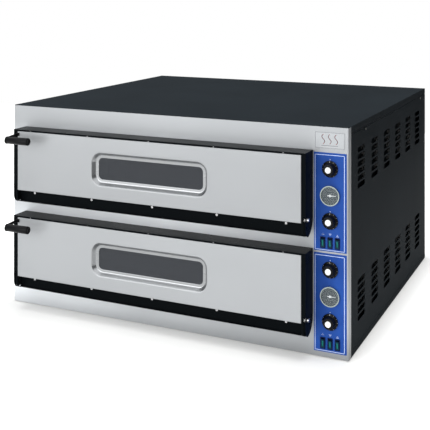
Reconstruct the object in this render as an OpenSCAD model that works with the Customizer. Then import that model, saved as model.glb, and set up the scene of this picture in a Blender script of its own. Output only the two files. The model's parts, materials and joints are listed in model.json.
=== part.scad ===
// Twin-deck electric countertop pizza oven, in millimetres.
// X runs left to right, Y runs from the doors back to the rear panel, and Z = 0 is the counter.
// The origin is the middle of the whole footprint, handles included. Each deck has a bottom-hinged
// door, a stone-floored chamber, two thermostat knobs, a dial thermometer and three rocker switches.

/* [Cabinet] */
// Width over the side panels
body_w = 1340; // [1330:5:1370]
// Depth from the fascia to the rear panel
body_d = 1200; // [1180:10:1260]
// Height from the counter to the top of the lid
body_h = 762; // [758:2:780]
// Thickness of the cabinet sheet
sheet = 1.5; // [1:0.5:2]
// Depth of the steel return on each side of the fascia
return_d = 27; // [20:1:35]
// Height of the lid's side lip
lid_lip = 25; // [15:1:27]
// Height of the rail along the foot of each side
rail_h = 20; // [14:1:24]
// Gap that the rubber feet hold under the cabinet
foot_lift = 3; // [2:0.5:6]

/* [Decks] */
// Height of the lower door's bottom edge
door_bottom = 80; // [78:1:84]
// Vertical distance between the two doors
deck_pitch = 325; // [320:1:328]
// Inside width of a baking chamber
chamber_w = 1080; // [1060:5:1080]
// Inside depth of a baking chamber
chamber_d = 1080; // [1000:10:1090]
// Clear height above the baking stones
chamber_h = 140; // [130:2:142]
// Thickness of a baking stone
stone_t = 14; // [10:1:14]

/* [Doors] */
// Width over the door's two cheeks
door_w = 1162; // [1162:1:1165]
// Height of a door
door_h = 277; // [275:1:280]
// How far a closed door stands forward of the fascia
door_d = 75; // [74:1:80]
// Sideways offset of the door's middle from the cabinet's middle
door_mid_x = -33.5; // [-34:0.5:-31]
// Width of the black flange at each side of the steel skin
flange_w = 17; // [15:0.5:18]
// Width of the pressed window recess
window_w = 462; // [420:1:480]
// Height of the pressed window recess
window_h = 119; // [100:0.5:120]
// Distance from the skin to the handle grip's axis
grip_reach = 56.5; // [50:0.5:62]
// Diameter of the handle grip
grip_dia = 28; // [22:1:30]
// Length of the handle grip
grip_len = 94; // [90:1:140]

/* [Controls] */
// Distance from the cabinet's right side to the middle of the control panels
panel_inset = 63; // [63:0.5:66]
// Width of a control panel
panel_w = 112; // [104:1:112]
// Diameter of a knob's skirt
knob_dia = 55; // [46:1:56]
// Diameter of a thermometer's bezel
dial_dia = 66; // [60:1:72]

/* [Louvres] */
// Columns of louvres along each side
louvre_cols = 6; // [3:1:6]
// Rows of louvres in each of the two groups
louvre_rows = 6; // [3:1:6]
// Length of one louvre
louvre_len = 90; // [60:1:110]
// Height of one louvre
louvre_h = 18; // [8:1:20]

/* [Hidden] */

$fn = 64;
eps = 0.1;
fit = 0.05;         // radial running clearance of every turning joint
gap = 0.5;          // clearance between fixed neighbours
seam = 0.1;         // gap at a seam between two sheets of one welded piece
bend_r = 3;         // outside radius of the fascia's folds
half_w = body_w / 2;
front_reach = door_d + grip_reach + grip_dia / 2;   // fascia to the front of the handles
front_y = -(body_d - front_reach) / 2;

STEEL = "#c6c9cc";
BLACK = "#15171a";
CHARCOAL = "#2b3033";
BLUE = "#2b4fa8";
BRIGHT = "#e4e6e8";
STONE = "#b9a88e";
WOOL = "#c9c2a4";

// The second deck is the first one raised by one pitch.
LOWER = 0;
UPPER = deck_pitch;

// Louvres and screws of the side panels
first_louvre_y = 150;
louvre_pitch_y = 177;
louvre_pitch_z = 24.3;
louvre_tops = [671, 225];           // height of the top row in each group
back_louvre_pitch = 200;
side_screw_y = [204, 1100];
side_screw_z = body_h - lid_lip - 8;
side_screw_r = 4;

// Feet, and the mains entry in the rear panel: a clearance hole for an M32 cable gland
foot_inset = 70;
foot_r = 22;
stud_r = 5;
stud_top = foot_lift + sheet + 3;
cable_x = half_w - 70;
cable_z = 100;
cable_r = 16.25;
terminal_y = body_d - 200;
terminal_top = 20;

// Door outline, measured on the closed lower door
door_x0 = door_mid_x - door_w / 2;
door_x1 = door_mid_x + door_w / 2;
door_top = door_bottom + door_h;
corner_r = 29;                      // rounded bottom front corner of a cheek
right_flange_w = flange_w - 2;      // the right flange is narrower, to clear the controls
skin_t = 1.2;
skin_bottom = door_bottom + 49;
skin_top = door_top - 6.5;
skin_x0 = door_x0 + flange_w;
skin_x1 = door_x1 - right_flange_w;
strip_y = -door_d + corner_r;       // plane of the recessed strip under the skin
strip_z = door_bottom + 0.8;        // the strip stops short of the bottom, clear of the fascia
strip_lip = 6;                      // its bottom edge turns forward to join the flanges
screw_pitch = 252;
screw_z = skin_bottom - 12;

// Door hinge: the cheek's back lower edge is an arc about this axis, so it clears the fascia.
pivot_y = -60;
pivot_z = door_bottom + 58;
cheek_r = -pivot_y - gap;
bolt_r = 4;
bolt_head_r = 6.5;
arm_t = 5;
arm_half = 8;
arm_slot = 6.5;
arm_foot = [10, 3, 22];             // extra width, thickness and half height of the bolted foot

// Inner pan of the door and the opening behind it
pan_inset = 31.5;
pan_x0 = door_x0 + pan_inset;
pan_x1 = door_x1 - pan_inset;
pan_z0 = pivot_z + 14;
pan_z1 = door_top - 22;
pan_back = 22;
pan_front = strip_y + 4;
pan_play = 0.2;
aperture_gap = 7;
aperture_z0 = pan_z0 - 9;
aperture_z1 = pan_z1 + 13;

// Window: a tapered recess with a flat ring, and glass behind the ring
window_x = door_mid_x - 4;
window_z = door_bottom + 157.5;
recess_d = 15;
recess_taper = 10;
recess_r = 38;
ring_outer_w = window_w - 2 * recess_taper;
ring_outer_h = window_h - 2 * recess_taper;
ring_r = recess_r - recess_taper;
ring_w = 12;
ring_h = 9;                         // the ring is narrower above and below the glass
opening_r = 19;
glass_t = 4;
glass_w = window_w - 26;
glass_h = window_h - 22;
glass_r = 16;
outer_glass_y = -door_d + recess_d + skin_t + pan_play;
inner_glass_y = pan_back - sheet - glass_t - pan_play;

// Handle
grip_y = -door_d - grip_reach;
grip_z = door_top - 31.5;
handle_x = door_x0 + 11;
handle_t = 5;
spigot_r = 4;

// Chamber, measured on the lower deck
floor_z = door_bottom + 95;
chamber_y = pan_back + 8;
cavity_y0 = chamber_y + sheet;
cavity_y1 = cavity_y0 + chamber_d;
cavity_z0 = floor_z - 26;
cavity_z1 = floor_z + chamber_h;
chamber_x0 = door_mid_x - chamber_w / 2 - 0.5;
chamber_x1 = chamber_x0 + chamber_w;
mouth_x0 = pan_x0 - aperture_gap - sheet;
mouth_x1 = pan_x1 + aperture_gap + sheet;
mouth_z0 = aperture_z0 - sheet;
mouth_z1 = aperture_z1 + sheet;
ledge_w = 20;                       // strips that carry the stones
element_r = 4;
element_pitch = 90;
lamp_r = 24;
seal_w = 7;                         // width of the door's rope seal

// Control column, measured on the fascia
panel_x = half_w - panel_inset;
panel_t = 1;
upper_panel = [351.5, 676];         // lowest and highest point of the upper panel
lower_panel = [20, 345];
knob_drop = [53, 224];              // each knob's distance below its panel's top
dial_drop = 140.5;
switch_drop = 296;
switch_pitch = 25;
shaft_r = 3;
shaft_hole_r = 5.5;
staff_r = 1;
bezel_w = 3.5;
bay_x = panel_x - panel_w / 2;      // partition between the chambers and the control bay

// Knob, from the panel forwards: skirt, sloping dial, barrel and cap
skirt_h = 2;
slope_h = 3;
barrel_h = 17;
cap_h = 4;
cap_r = 10.5;

// Rocker switch
rocker_w = 11.6;
rocker_half = 14;
rocker_tilt = 7;
rocker_axis_y = 3;
rocker_pin_r = 1.5;
housing_w = 17;
housing_h = 37;
housing_neck = [15, 34];            // width and height of the part inside the panel
switch_hole = [15.4, 34.4];

// ---------------------------------------------------------------- helpers

// Moves children from coordinates with y = 0 on the fascia to the cabinet's own frame
module from_front() translate([0, front_y, 0]) children();

// A box given by its lowest and highest corners
module block(low, high) translate(low) cube(high - low);

// A round bar along +X, +Y or +Z starting at a point
module bar_x(p, r, len) translate(p) rotate([0, 90, 0]) cylinder(r = r, h = len);
module bar_y(p, r, len) translate(p) rotate([-90, 0, 0]) cylinder(r = r, h = len);
module bar_z(p, r, len) translate(p) cylinder(r = r, h = len);

// A profile drawn as (Y, Z) and pushed out along +X
module along_x(x, len) translate([x, 0, 0]) rotate([90, 0, 90]) linear_extrude(len) children();

// A profile drawn as (X, Z) and pushed out along +Y
module along_y(y, len) translate([0, y + len, 0]) rotate([90, 0, 0]) linear_extrude(len) children();

// A rectangle with rounded corners, centred on the origin
module rounded_rect(w, h, r) {
    square([w - 2 * r, h], center = true);
    square([w, h - 2 * r], center = true);
    for (x = [-1, 1], z = [-1, 1])
        translate([x * (w / 2 - r), z * (h / 2 - r)]) circle(r);
}

// A slot with round ends, centred on the origin
module slot(len, h) {
    square([len - h, h], center = true);
    for (x = [-1, 1]) translate([x * (len - h) / 2, 0]) circle(h / 2);
}

// ---------------------------------------------------------------- cabinet

module aperture(deck)
    block([pan_x0 - aperture_gap, -eps, aperture_z0 + deck],
          [pan_x1 + aperture_gap, sheet + eps, aperture_z1 + deck]);

function arm_x(side) = side < 0 ? door_x0 + sheet + gap : door_x1 - sheet - gap - arm_t;

module arm_slots(deck)
    for (side = [-1, 1])
        block([arm_x(side) - gap, -eps, pivot_z + deck - arm_half - gap],
              [arm_x(side) + arm_t + gap, sheet + eps, pivot_z + deck + arm_half + gap]);

// Holes for the shafts, the thermometer and the switches of one panel, through y0 to y1
module control_holes(top, y0, y1) {
    for (drop = knob_drop) bar_y([panel_x, y0, top - drop], shaft_hole_r, y1 - y0);
    bar_y([panel_x, y0, top - dial_drop], dial_dia / 2 - bezel_w - gap, y1 - y0);
    for (i = [-1, 0, 1])
        translate([panel_x + i * switch_pitch, 0, top - switch_drop])
            along_y(y0, y1 - y0) square(switch_hole, center = true);
}

// Plan of the folded fascia sheet, d deep, with its front corners rounded
module fascia_plan(w, d, r) {
    translate([-w / 2, r]) square([w, d - r]);
    translate([-w / 2 + r, 0]) square([w - 2 * r, d]);
    for (side = [-1, 1]) translate([side * (w / 2 - r), r]) circle(r);
}

module front_fascia() color(STEEL) from_front() difference() {
    translate([0, 0, foot_lift]) linear_extrude(body_h - sheet - foot_lift) difference() {
        fascia_plan(body_w, return_d, bend_r);
        translate([0, sheet]) fascia_plan(body_w - 2 * sheet, return_d, bend_r - sheet);
    }
    for (deck = [LOWER, UPPER]) {
        aperture(deck);
        arm_slots(deck);
    }
    for (panel = [upper_panel, lower_panel]) control_holes(panel[1], -eps, sheet + eps);
}

module louvre_slots(x)
    for (top = louvre_tops, col = [0 : louvre_cols - 1], row = [0 : louvre_rows - 1])
        translate([0, first_louvre_y + col * louvre_pitch_y, top - row * louvre_pitch_z])
            along_x(x - eps, sheet + 2 * eps) slot(louvre_len, louvre_h);

module side_panel(x) color(CHARCOAL) from_front() difference() {
    block([x, return_d + 3, foot_lift + rail_h + 1], [x + sheet, body_d - sheet, body_h - lid_lip - 1]);
    louvre_slots(x);
    for (y = side_screw_y) bar_x([x - eps, y, side_screw_z], 2.6, sheet + 2 * eps);
}

module left_side_panel() side_panel(-half_w);

module right_side_panel() side_panel(half_w - sheet);

module top_panel() color(CHARCOAL) from_front() {
    block([-half_w, 0, body_h - sheet], [half_w, body_d, body_h]);
    for (x = [-half_w, half_w - sheet])
        block([x, return_d + 3, body_h - lid_lip], [x + sheet, body_d, body_h - sheet / 2]);
    block([-half_w, body_d - sheet, body_h - lid_lip], [half_w, body_d, body_h - sheet / 2]);
}

module back_panel() color(CHARCOAL) from_front() difference() {
    block([-half_w, body_d - sheet, foot_lift + rail_h + 1], [half_w, body_d, body_h - lid_lip - 1]);
    for (row = [0 : louvre_rows - 1], col = [-2 : 2])
        translate([col * back_louvre_pitch, 0, louvre_tops[0] - row * louvre_pitch_z])
            along_y(body_d - sheet - eps, sheet + 2 * eps) slot(louvre_len, louvre_h);
    bar_y([cable_x, body_d - sheet - eps, cable_z], cable_r, sheet + 2 * eps);
}

module base_tray() color(CHARCOAL) from_front() difference() {
    union() {
        block([-half_w, bend_r + gap, foot_lift], [half_w, body_d, foot_lift + sheet]);
        for (x = [-half_w, half_w - sheet])
            block([x, return_d + 3, foot_lift], [x + sheet, body_d, foot_lift + rail_h]);
        block([-half_w, body_d - sheet, foot_lift], [half_w, body_d, foot_lift + rail_h]);
    }
    for (x = [-half_w - eps, half_w - sheet])
        block([x, -eps, foot_lift - eps], [x + sheet + eps, return_d + gap, foot_lift + sheet + eps]);
    for (x = [-1, 1], y = [foot_inset, body_d - foot_inset])
        bar_z([x * (half_w - foot_inset), y, foot_lift - eps], stud_r + 0.2, sheet + 2 * eps);
}

module rubber_feet() color(BLACK) from_front()
    for (x = [-1, 1], y = [foot_inset, body_d - foot_inset])
        translate([x * (half_w - foot_inset), y, 0]) {
            cylinder(r = foot_r, h = foot_lift);
            cylinder(r = stud_r, h = stud_top);
        }

module control_bay_wall() color(STEEL) from_front()
    block([bay_x - sheet, sheet + gap, foot_lift + sheet], [bay_x, body_d - sheet - gap, body_h - sheet]);

module badge_plate() color(BRIGHT) from_front()
    block([panel_x - 53, -0.8, 689], [panel_x + 50, 0, 744]);

module cabinet_screws() color(BRIGHT) from_front()
    for (side = [-1, 1], y = side_screw_y)
        translate([side * half_w, y, side_screw_z]) rotate([0, side * 90, 0]) {
            cylinder(r = side_screw_r, h = 2);
            translate([0, 0, -8]) cylinder(r = 2.4, h = 8 + eps);
        }

// Five-way mains terminal block with a barrier between one way and the next
module terminal_block() color(BRIGHT) from_front() {
    block([panel_x - 40, terminal_y, foot_lift + sheet], [panel_x + 40, terminal_y + 50, terminal_top]);
    for (i = [-3 : 2])
        translate([panel_x + i * 15 + 6, terminal_y + 5, terminal_top - eps]) cube([3, 40, 10]);
}

// ---------------------------------------------------------------- chambers

// Five sheets of a chamber, butted together, with three ledges under the stones
module chamber_shell() {
    for (z = [cavity_z0 - sheet, cavity_z1])
        block([chamber_x0 - sheet, cavity_y0, z], [chamber_x1 + sheet, cavity_y1 + sheet, z + sheet]);
    for (x = [chamber_x0 - sheet, chamber_x1])
        block([x, cavity_y0, cavity_z0 + seam], [x + sheet, cavity_y1 + sheet, cavity_z1 - seam]);
    block([chamber_x0 + seam, cavity_y1, cavity_z0 + seam],
          [chamber_x1 - seam, cavity_y1 + sheet, cavity_z1 - seam]);
    for (x = [chamber_x0 + seam, chamber_x0 + (chamber_w - ledge_w) / 2, chamber_x1 - ledge_w - seam])
        block([x, cavity_y0, floor_z - stone_t - sheet], [x + ledge_w, cavity_y1 - seam, floor_z - stone_t]);
}

// Flat frame round the mouth, for the door's seal to press on, and a collar forward to the fascia
module chamber_mouth() {
    y0 = sheet + gap;
    y1 = cavity_y0 - seam;
    block([mouth_x0, chamber_y, mouth_z0], [mouth_x1, y1, floor_z]);
    block([mouth_x0, chamber_y, cavity_z1], [mouth_x1, y1, mouth_z1]);
    block([mouth_x0, chamber_y, floor_z + seam], [chamber_x0, y1, cavity_z1 - seam]);
    block([chamber_x1, chamber_y, floor_z + seam], [mouth_x1, y1, cavity_z1 - seam]);
    for (z = [mouth_z0, mouth_z1 - sheet])
        block([mouth_x0, y0, z], [mouth_x1, chamber_y - seam, z + sheet]);
    for (x = [mouth_x0, mouth_x1 - sheet])
        block([x, y0, aperture_z0 + seam], [x + sheet, chamber_y - seam, aperture_z1 - seam]);
}

module chamber(deck) color(STEEL) from_front() translate([0, 0, deck]) {
    chamber_shell();
    chamber_mouth();
}

module upper_chamber() chamber(UPPER);

module lower_chamber() chamber(LOWER);

// Two by two stones lying on the ledges
module baking_stones(deck) color(STONE) from_front()
    for (i = [0, 1], j = [0, 1]) {
        x = chamber_x0 + gap + i * chamber_w / 2;
        y = cavity_y0 + gap + j * chamber_d / 2;
        translate([x, y, floor_z + deck - stone_t])
            cube([chamber_w / 2 - 2 * gap, chamber_d / 2 - 2 * gap, stone_t]);
    }

module upper_baking_stones() baking_stones(UPPER);

module lower_baking_stones() baking_stones(LOWER);

// One hairpin element in a level plane: two legs along X joined by a half ring
module hairpin(y, z) {
    left = chamber_x0 + 60;
    right = chamber_x1;
    for (side = [-1, 1])
        bar_x([left, y + side * element_pitch / 2, z], element_r, right - left);
    translate([left, y, z]) rotate(90) rotate_extrude(angle = 180)
        translate([element_pitch / 2, 0]) circle(element_r);
}

module heating_elements(deck) color("#5a5550") from_front()
    for (z = [cavity_z0 + element_r + 1, cavity_z1 - element_r - 4], i = [0 : 5])
        hairpin(cavity_y0 + 90 + i * 2 * element_pitch, z + deck);

module upper_heating_elements() heating_elements(UPPER);

module lower_heating_elements() heating_elements(LOWER);

// A lamp in the back left corner of each chamber
module chamber_lamps() color("#f2ecd8") from_front()
    for (deck = [LOWER, UPPER])
        bar_y([chamber_x0 + 70, cavity_y1 - 12, cavity_z1 - 40 + deck], lamp_r, 12 - seam);

// Slabs of mineral wool below, above, beside and behind one chamber, from z0 up to z1
module blanket(deck, z0, z1) {
    x = [-half_w + 30, chamber_x0 - sheet - gap, chamber_x1 + sheet + gap, bay_x - sheet - gap];
    y = [cavity_y0 + gap, cavity_y1 + sheet + gap, body_d - 40];
    z = [z0, cavity_z0 - sheet - gap + deck, cavity_z1 + sheet + gap + deck, z1];
    block([x[0], y[0], z[0]], [x[3], y[2], z[1]]);
    block([x[0], y[0], z[2]], [x[3], y[2], z[3]]);
    block([x[0], y[0], z[1] + seam], [x[1], y[2], z[2] - seam]);
    block([x[2], y[0], z[1] + seam], [x[3], y[2], z[2] - seam]);
    block([x[1] + seam, y[1], z[1] + seam], [x[2] - seam, y[2], z[2] - seam]);
}

module insulation_blankets() color(WOOL) from_front() {
    middle = door_bottom + deck_pitch - 20;
    blanket(LOWER, stud_top + gap, middle - gap);
    blanket(UPPER, middle, body_h - lid_lip - 10);
}

// ---------------------------------------------------------------- hinges

// Each arm is bolted behind the fascia and reaches forward to the door's pivot.
module hinge_arms() color(BRIGHT) from_front()
    for (deck = [LOWER, UPPER], side = [-1, 1]) {
        x = arm_x(side);
        foot_x = side < 0 ? x : x - arm_foot[0];
        translate([0, 0, pivot_z + deck]) difference() {
            union() {
                bar_x([x, pivot_y, 0], arm_half, arm_t);
                block([x, pivot_y, -arm_half], [x + arm_t, sheet + 4, arm_half]);
                block([foot_x, sheet + gap, -arm_foot[2]],
                      [foot_x + arm_t + arm_foot[0], sheet + gap + arm_foot[1], arm_foot[2]]);
            }
            bar_x([x - eps, pivot_y, 0], bolt_r + fit, arm_t + 2 * eps);
        }
    }

// Shoulder bolts with a lock nut on the inside, the heads outside the cheeks
module hinge_bolts() color(BRIGHT) from_front()
    for (deck = [LOWER, UPPER], side = [-1, 1]) {
        x = side < 0 ? door_x0 : door_x1;
        translate([x, pivot_y, pivot_z + deck]) rotate([0, -side * 90, 0]) {
            translate([0, 0, -7]) cylinder(r = bolt_head_r, h = 7 - fit);
            translate([0, 0, -1]) cylinder(r = bolt_r, h = 2 + sheet + gap + arm_t);
            translate([0, 0, sheet + gap + arm_t + fit]) cylinder(r = bolt_head_r, h = 4.5);
        }
    }

// ---------------------------------------------------------------- doors

// Side view of a cheek: straight front, rounded bottom front corner, and an arc about the pivot
module cheek_profile() {
    translate([-door_d, door_bottom + corner_r]) square([door_d - 1, door_h - corner_r]);
    intersection() {
        translate([strip_y, door_bottom + corner_r]) circle(corner_r);
        translate([-door_d, door_bottom]) square([corner_r, corner_r + eps]);
    }
    intersection() {
        translate([pivot_y, pivot_z]) circle(cheek_r);
        translate([strip_y - eps, door_bottom]) square([-strip_y, corner_r + eps]);
    }
}

// The cheek outline with everything beyond the arc about the pivot taken away
module cheek_outline() difference() {
    cheek_profile();
    difference() {
        translate([strip_y, door_bottom - eps]) square([-strip_y, pivot_z - door_bottom + eps]);
        translate([pivot_y, pivot_z]) circle(cheek_r);
    }
}

// The narrow flange that turns in along the cheek's front edge and round its bottom corner
module flange_profile() {
    translate([-door_d, door_bottom + corner_r]) square([sheet, door_h - corner_r]);
    intersection() {
        translate([strip_y, door_bottom + corner_r]) difference() {
            circle(corner_r);
            circle(corner_r - sheet);
        }
        translate([-door_d, door_bottom]) square([corner_r + eps, corner_r + eps]);
    }
}

module door_frame(deck) color(BLACK) from_front() translate([0, 0, deck]) difference() {
    union() {
        for (x = [door_x0, door_x1 - sheet]) along_x(x, sheet) cheek_outline();
        along_x(door_x0, flange_w) flange_profile();
        along_x(skin_x1, right_flange_w) flange_profile();
        block([door_x0, -door_d, door_top - sheet], [door_x1, -1, door_top]);
        block([door_x0, -door_d, skin_top + gap], [door_x1, -door_d + sheet, door_top]);
        block([door_x0 + sheet + arm_slot, strip_y, strip_z],
              [door_x1 - sheet - arm_slot, strip_y + sheet, pan_z0 - gap]);
        block([door_x0 + sheet + arm_slot, strip_y - strip_lip, strip_z],
              [door_x1 - sheet - arm_slot, strip_y + sheet, strip_z + sheet]);
    }
    for (x = [door_x0 + sheet, door_x1 - sheet - arm_slot])
        block([x, -door_d - eps, door_bottom - eps], [x + arm_slot, 0, pivot_z + arm_half + 1]);
    bar_x([door_x0 - eps, pivot_y, pivot_z], bolt_r + fit, sheet + 2 * eps);
    bar_x([door_x1 - sheet - eps, pivot_y, pivot_z], bolt_r + fit, sheet + 2 * eps);
    for (i = [-2 : 2])
        bar_y([door_mid_x + i * screw_pitch, strip_y - eps, screw_z], 2.2, sheet + 2 * eps);
}

module upper_door_frame() door_frame(UPPER);

module lower_door_frame() door_frame(LOWER);

// The tapered recess as a solid, grown by g all round and started a little forward by lead:
// four corner cones joined by two trapezoid bars
module recess(g, lead) {
    x = window_w / 2 - recess_r;
    z = window_h / 2 - recess_r;
    front_r = recess_r + g + lead * recess_taper / recess_d;
    back_r = recess_r + g - recess_taper;
    depth = recess_d + lead;
    translate([0, -door_d - lead, 0]) {
        for (i = [-1, 1], j = [-1, 1])
            translate([i * x, 0, j * z]) rotate([-90, 0, 0])
                cylinder(r1 = front_r, r2 = back_r, h = depth);
        along_x(-x, 2 * x)
            polygon([[0, z + front_r], [depth, z + back_r], [depth, -z - back_r], [0, -z - front_r]]);
        translate([0, 0, -z]) linear_extrude(2 * z)
            polygon([[x + front_r, 0], [x + back_r, depth], [-x - back_r, depth], [-x - front_r, 0]]);
    }
}

module window_opening(y, len)
    along_y(y, len) rounded_rect(ring_outer_w - 2 * ring_w, ring_outer_h - 2 * ring_h, opening_r);

module door_skin(deck) color(STEEL) from_front() translate([0, 0, deck]) difference() {
    union() {
        block([skin_x0 + gap, -door_d, skin_bottom], [skin_x1 - gap, -door_d + skin_t, skin_top]);
        block([skin_x0 + gap, -door_d, skin_bottom], [skin_x1 - gap, strip_y - gap, skin_bottom + skin_t]);
        translate([window_x, 0, window_z]) {
            recess(skin_t, 0);
            along_y(-door_d + recess_d - eps, skin_t + eps)
                rounded_rect(ring_outer_w + 2 * skin_t, ring_outer_h + 2 * skin_t, ring_r + skin_t);
        }
    }
    translate([window_x, 0, window_z]) {
        recess(0, eps);
        window_opening(-door_d + recess_d - 1, 4);
    }
}

module upper_door_skin() door_skin(UPPER);

module lower_door_skin() door_skin(LOWER);

// Outer pane behind the pressed ring, and inner pane behind the pan's own opening
module window_glass(deck) color("#3c4248") from_front() translate([window_x, 0, window_z + deck])
    for (y = [outer_glass_y, inner_glass_y])
        along_y(y, glass_t) rounded_rect(glass_w, glass_h, glass_r);

module upper_window_glass() window_glass(UPPER);

module lower_window_glass() window_glass(LOWER);

module door_inner_pan(deck) color(STEEL) from_front() translate([0, 0, deck]) difference() {
    union() {
        block([pan_x0, pan_front, pan_z0], [pan_x1, pan_back, pan_z1]);
        block([door_x0 + sheet + pan_play, pan_front, pan_z0],
              [door_x1 - sheet - pan_play, pan_front + sheet, door_top - sheet - pan_play]);
    }
    block([pan_x0 + sheet, pan_front - eps, pan_z0 + sheet],
          [pan_x1 - sheet, pan_back - sheet, pan_z1 - sheet]);
    translate([window_x, 0, window_z]) window_opening(pan_back - sheet - 1, 4);
}

module upper_door_inner_pan() door_inner_pan(UPPER);

module lower_door_inner_pan() door_inner_pan(LOWER);

module door_insulation(deck) color(WOOL) from_front() translate([0, 0, deck]) difference() {
    block([pan_x0 + sheet + gap, pan_front, pan_z0 + sheet + gap],
          [pan_x1 - sheet - gap, inner_glass_y - gap, pan_z1 - sheet - gap]);
    translate([window_x, 0, window_z])
        along_y(pan_front - 1, inner_glass_y - pan_front + 1) rounded_rect(glass_w + 4, glass_h + 4, glass_r);
}

module upper_door_insulation() door_insulation(UPPER);

module lower_door_insulation() door_insulation(LOWER);

// Rope seal round the chamber's mouth, half a millimetre short of the chamber's flange
module door_gasket(deck) color("#77756f") from_front() translate([0, 0, deck]) {
    low = max(floor_z - 2 * seal_w, pan_z0 + 1);
    difference() {
        block([chamber_x0 - seal_w - 2, pan_back, low],
              [chamber_x1 + seal_w + 2, chamber_y - gap, cavity_z1 + 2 * seal_w]);
        block([chamber_x0 - 2, pan_back - 1, low + seal_w], [chamber_x1 + 2, chamber_y, cavity_z1 + seal_w]);
    }
}

module upper_door_gasket() door_gasket(UPPER);

module lower_door_gasket() door_gasket(LOWER);

// Flat arm from the door's left front edge down to the grip, with a small foot on the door
module handle_arm(deck) color(BLACK) from_front() translate([0, 0, deck]) {
    along_x(handle_x, handle_t) difference() {
        union() {
            polygon([
                [-door_d, grip_z + 16],
                [-door_d, grip_z + 7],
                [grip_y + 8, grip_z + 2],
                [grip_y - 6, grip_z + 12]
            ]);
            translate([grip_y, grip_z]) circle(grip_dia / 2);
        }
        translate([grip_y, grip_z]) circle(spigot_r);
    }
    block([handle_x, -door_d - 2.5, grip_z + 7], [handle_x + 15, -door_d, grip_z + 19]);
}

module upper_handle_arm() handle_arm(UPPER);

module lower_handle_arm() handle_arm(LOWER);

// Round grip with a spigot that passes through the arm
module handle_grip(deck) color(BLACK) from_front()
    translate([handle_x + handle_t, grip_y, grip_z + deck]) rotate([0, 90, 0]) {
        r = grip_dia / 2 - 0.5;
        cylinder(r = r, h = grip_len - 2);
        translate([0, 0, grip_len - 2]) cylinder(r1 = r, r2 = r - 2, h = 2);
        translate([0, 0, -handle_t]) cylinder(r = spigot_r - 0.1, h = handle_t + 1);
    }

module upper_handle_grip() handle_grip(UPPER);

module lower_handle_grip() handle_grip(LOWER);

// Five screws through the recessed strip and five small ones along the top edge
module door_screws(deck) color(BRIGHT) from_front() translate([0, 0, deck])
    for (i = [-2 : 2]) {
        x = door_mid_x + i * screw_pitch;
        bar_y([x, strip_y - 2.5, screw_z], 4, 2.5);
        bar_y([x, strip_y - 1, screw_z], 2, 10);
        bar_y([x, -door_d - 1, door_top - 3.5], 1.5, 1);
    }

module upper_door_screws() door_screws(UPPER);

module lower_door_screws() door_screws(LOWER);

// ---------------------------------------------------------------- controls

module control_panel(span) color(BLUE) from_front() difference() {
    block([panel_x - panel_w / 2, -panel_t, span[0]], [panel_x + panel_w / 2, 0, span[1]]);
    control_holes(span[1], -panel_t - eps, eps);
}

module upper_control_panel() control_panel(upper_panel);

module lower_control_panel() control_panel(lower_panel);

// Knob with a skirt, a grip barrel and a cap, bored for the thermostat's shaft
module knob(top, drop) color(BLACK) from_front()
    translate([panel_x, -panel_t - 1, top - drop]) rotate([90, 0, 0]) difference() {
        r = knob_dia / 2;
        union() {
            cylinder(r = r, h = skirt_h);
            translate([0, 0, skirt_h]) cylinder(r1 = r, r2 = r - 4, h = slope_h);
            translate([0, 0, skirt_h + slope_h]) cylinder(r1 = r - 7, r2 = r - 9.5, h = barrel_h);
            translate([0, 0, skirt_h + slope_h + barrel_h]) cylinder(r = cap_r, h = cap_h);
        }
        translate([0, 0, -eps]) cylinder(r = shaft_r + fit, h = 13);
    }

module upper_top_heat_knob() knob(upper_panel[1], knob_drop[0]);

module upper_floor_heat_knob() knob(upper_panel[1], knob_drop[1]);

module lower_top_heat_knob() knob(lower_panel[1], knob_drop[0]);

module lower_floor_heat_knob() knob(lower_panel[1], knob_drop[1]);

// Four capillary thermostats behind the fascia, with their shafts standing through it
module thermostats() color(STEEL) from_front()
    for (panel = [upper_panel, lower_panel], drop = knob_drop)
        translate([panel_x, 0, panel[1] - drop]) {
            block([-22, sheet + gap, -20], [22, sheet + gap + 34, 20]);
            bar_y([0, -panel_t, 0], 5, sheet + gap + panel_t + 1);
            bar_y([0, -panel_t - 12, 0], shaft_r, 14);
        }

// Thermometer: bezel, case through the panel, dial plate and the needle's staff
module thermometer(top) color(BRIGHT) from_front() translate([panel_x, 0, top - dial_drop]) {
    r = dial_dia / 2;
    difference() {
        union() {
            bar_y([0, -8, 0], r, 7);
            bar_y([0, -1.5, 0], r - bezel_w - 1, 24);
        }
        bar_y([0, -8.5, 0], r - bezel_w, 6.5);
        bar_y([0, 1, 0], r - bezel_w - 3, 18);
    }
    bar_y([0, -4.6, 0], staff_r, 3);
}

module upper_thermometer() thermometer(upper_panel[1]);

module lower_thermometer() thermometer(lower_panel[1]);

module thermometer_lens(top) color("#dfe6ea") from_front()
    bar_y([panel_x, -7.2, top - dial_drop], dial_dia / 2 - bezel_w - seam, 1.4);

module upper_thermometer_lens() thermometer_lens(upper_panel[1]);

module lower_thermometer_lens() thermometer_lens(lower_panel[1]);

// Needle with a hub that turns on the staff and a short tail
module thermometer_needle(top) color("white") from_front() translate([panel_x, -3.9, top - dial_drop])
    difference() {
        union() {
            bar_y([0, 0, 0], 4, 0.9);
            along_y(0.1, 0.7) polygon([[-9, -1.4], [-9, 1.4], [20, 0.6], [20, -0.6]]);
        }
        bar_y([0, -eps, 0], staff_r + fit, 2);
    }

module upper_thermometer_needle() thermometer_needle(upper_panel[1]);

module lower_thermometer_needle() thermometer_needle(lower_panel[1]);

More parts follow.
